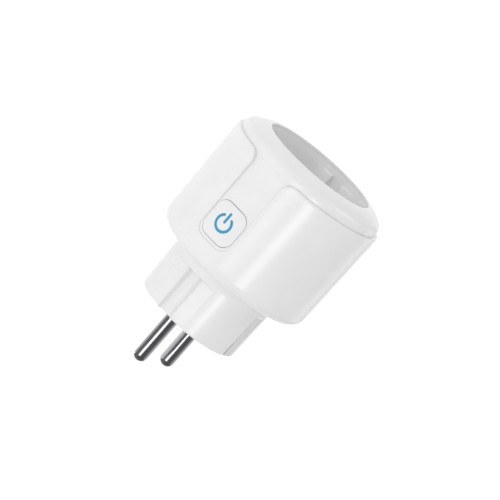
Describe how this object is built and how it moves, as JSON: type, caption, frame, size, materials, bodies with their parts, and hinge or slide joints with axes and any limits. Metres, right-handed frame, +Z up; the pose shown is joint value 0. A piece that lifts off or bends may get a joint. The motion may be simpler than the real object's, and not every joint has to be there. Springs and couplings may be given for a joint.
{
  "type": "smart plug",
  "caption": "Round wall plug adapter with side push button: pinned nose, white two-part shell, recessed socket well, sprung shutter and relay board inside.",
  "frame": {"origin": "centre of the nose end face, midway between the two pins", "axes": "+Y along the plug axis, the way the pins point into the wall; +X towards the push button, along the line through both pins; +Z up, through the upper earth contact. The socket well faces -Y"},
  "size_m": [0.0563, 0.0838, 0.0568],
  "materials": {
    "white_shell": "fine satin",
    "white_button": "fine satin",
    "well_plastic": "fine satin",
    "icon_teal": "smooth",
    "clear_guide": "clear",
    "grey_nylon": "satin",
    "shutter_plastic": "satin",
    "spring_steel": "drawn wire",
    "nickel_plate": "bright nickel",
    "copper": "stamped copper",
    "contact_brass": "stamped",
    "board_green": "solder mask",
    "board_blue": "solder mask",
    "screw_steel": "zinc plated",
    "relay_blue": "moulded",
    "black_plastic": "moulded",
    "coil_winding": "enamelled wire",
    "soft_iron": "plated",
    "capacitor_sleeve": "heat shrink",
    "film_yellow": "moulded",
    "ferrite": "matt",
    "varistor_blue": "epoxy dip",
    "resistor_lacquer": "lacquered",
    "chip_epoxy": "moulded epoxy",
    "shield_tin": "tin plated",
    "led_lens": "clear"
  },
  "bodies": {
    "housing": {"rear_housing": "white_shell", "front_housing": "white_shell", "socket_insert": "well_plastic", "shutter_frame": "grey_nylon", "shutter_spring": "spring_steel", "live_pin": "nickel_plate", "neutral_pin": "nickel_plate", "live_busbar": "copper", "neutral_busbar": "copper", "live_receptacle": "contact_brass", "neutral_receptacle": "contact_brass", "earth_strip_top": "nickel_plate", "earth_strip_bottom": "nickel_plate", "earth_clip_top": "nickel_plate", "earth_clip_bottom": "nickel_plate", "earth_link": "nickel_plate", "main_board": "board_green", "board_screws": "screw_steel", "relay_case": "relay_blue", "relay_base": "black_plastic", "relay_coil": "coil_winding", "relay_yoke": "soft_iron", "relay_contacts": "contact_brass", "smoothing_capacitors": "capacitor_sleeve", "film_capacitor": "film_yellow", "choke": "ferrite", "varistor": "varistor_blue", "fuse_resistor": "resistor_lacquer", "rectifier": "chip_epoxy", "power_chip": "chip_epoxy", "metering_chip": "chip_epoxy", "wireless_module": "board_blue", "wireless_shield": "shield_tin", "control_board": "board_green", "board_header": "black_plastic", "status_leds": "led_lens", "switch_body": "black_plastic"},
    "button": {"button_cap": "white_button", "power_icon": "icon_teal", "light_guide": "clear_guide"},
    "plunger": {"switch_plunger": "black_plastic"},
    "shutter": {"shutter": "shutter_plastic"},
    "armature": {"relay_armature": "soft_iron"}
  },
  "joints": [
    {"name": "button_press", "type": "slide", "parent": "housing", "child": "button", "axis": [-1, 0, 0], "range_m": [0, 0.0004], "stiffness_N_per_m": 2000, "springref_m": -0.0003},
    {"name": "plunger_press", "type": "slide", "parent": "housing", "child": "plunger", "axis": [-1, 0, 0], "range_m": [0, 0.0004]},
    {"name": "shutter_slide", "type": "slide", "parent": "housing", "child": "shutter", "axis": [0, 0, 1], "range_m": [0, 0.006], "stiffness_N_per_m": 60, "springref_m": -0.004, "deforming": ["shutter_spring"]},
    {"name": "armature_rock", "type": "hinge", "parent": "housing", "child": "armature", "pos_m": [0, -0.0138, 0.0021], "axis": [1, 0, 0], "range_deg": [0, 3], "stiffness_Nm_per_rad": 0.02, "springref_deg": -2.86}
  ],
  "couplings": [
    {"joint": "plunger_press", "follows": "button_press", "ratio": 1}
  ]
}
